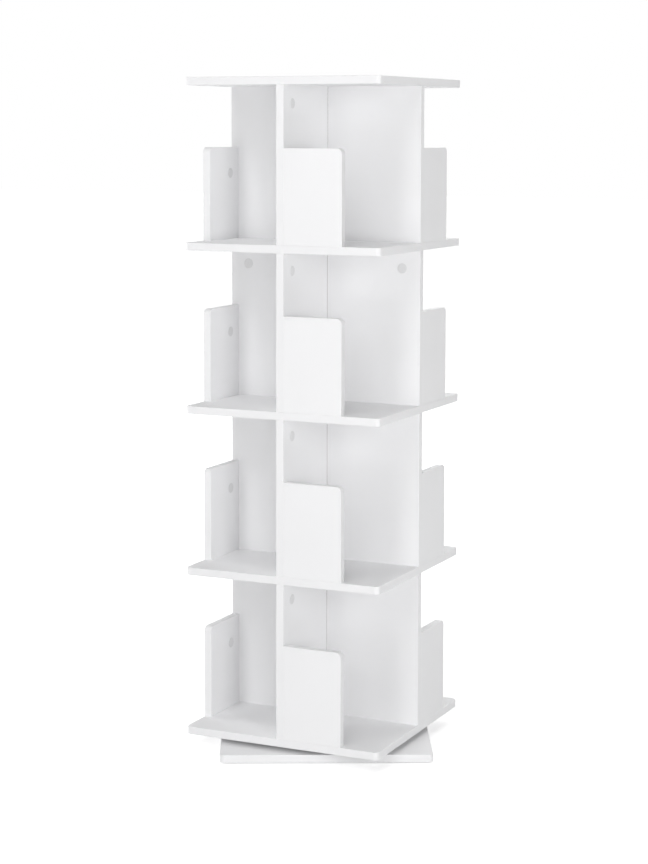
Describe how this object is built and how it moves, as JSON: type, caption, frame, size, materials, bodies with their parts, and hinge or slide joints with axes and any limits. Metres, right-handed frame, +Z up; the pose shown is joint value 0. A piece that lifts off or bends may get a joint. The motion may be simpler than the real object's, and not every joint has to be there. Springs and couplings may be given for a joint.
{
  "type": "revolving media tower",
  "caption": "Free-standing open shelf tower that turns on a ball-bearing base, with crossed dividers and low end stops on each tier for discs, games and books.",
  "frame": {"origin": "on the floor, at the tower's axis of rotation", "axes": "+Z up along the axis of rotation, -Y towards the tower's front, +X to its right; the base board stands turned 26 degrees about +Z from the tower"},
  "size_m": [0.5282, 0.5282, 1.277],
  "materials": {
    "white_board": "white melamine-faced board, satin, with matching edge band",
    "cover": "white plastic cam covers, matt",
    "aluminium": "turned, satin",
    "ball_steel": "polished bearing steel",
    "zinc_steel": "bright zinc plate",
    "cast_zinc": "die-cast zinc, raw",
    "nylon": "natural nylon",
    "beech": "raw beech",
    "felt": "pressed grey felt"
  },
  "bodies": {
    "base": {"base_board": "white_board", "floor_pads": "felt", "bearing_outer_ring": "aluminium", "base_screws": "zinc_steel"},
    "ball_train": {"bearing_balls": "ball_steel", "bearing_cage": "nylon"},
    "tower": {"bearing_inner_ring": "aluminium", "ring_screws": "zinc_steel", "bottom_shelf": "white_board", "shelf_2": "white_board", "shelf_3": "white_board", "shelf_4": "white_board", "top_board": "white_board", "full_divider_1": "white_board", "front_divider_1": "white_board", "back_divider_1": "white_board", "front_stop_1": "white_board", "right_stop_1": "white_board", "back_stop_1": "white_board", "left_stop_1": "white_board", "full_divider_2": "white_board", "front_divider_2": "white_board", "back_divider_2": "white_board", "front_stop_2": "white_board", "right_stop_2": "white_board", "back_stop_2": "white_board", "left_stop_2": "white_board", "full_divider_3": "white_board", "front_divider_3": "white_board", "back_divider_3": "white_board", "front_stop_3": "white_board", "right_stop_3": "white_board", "back_stop_3": "white_board", "left_stop_3": "white_board", "full_divider_4": "white_board", "front_divider_4": "white_board", "back_divider_4": "white_board", "front_stop_4": "white_board", "right_stop_4": "white_board", "back_stop_4": "white_board", "left_stop_4": "white_board", "cam_locks": "cast_zinc", "cam_bolts": "zinc_steel", "cam_covers": "cover", "dowels": "beech", "divider_screws": "zinc_steel"}
  },
  "joints": [
    {"name": "tower_spin", "type": "hinge", "parent": "base", "child": "tower", "pos_m": [0, 0, 0.026], "axis": [0, 0, 1], "continuous": true},
    {"name": "ball_train_spin", "type": "hinge", "parent": "base", "child": "ball_train", "pos_m": [0, 0, 0.0215], "axis": [0, 0, 1], "continuous": true}
  ],
  "couplings": [
    {"joint": "ball_train_spin", "follows": "tower_spin", "ratio": 0.4916}
  ]
}
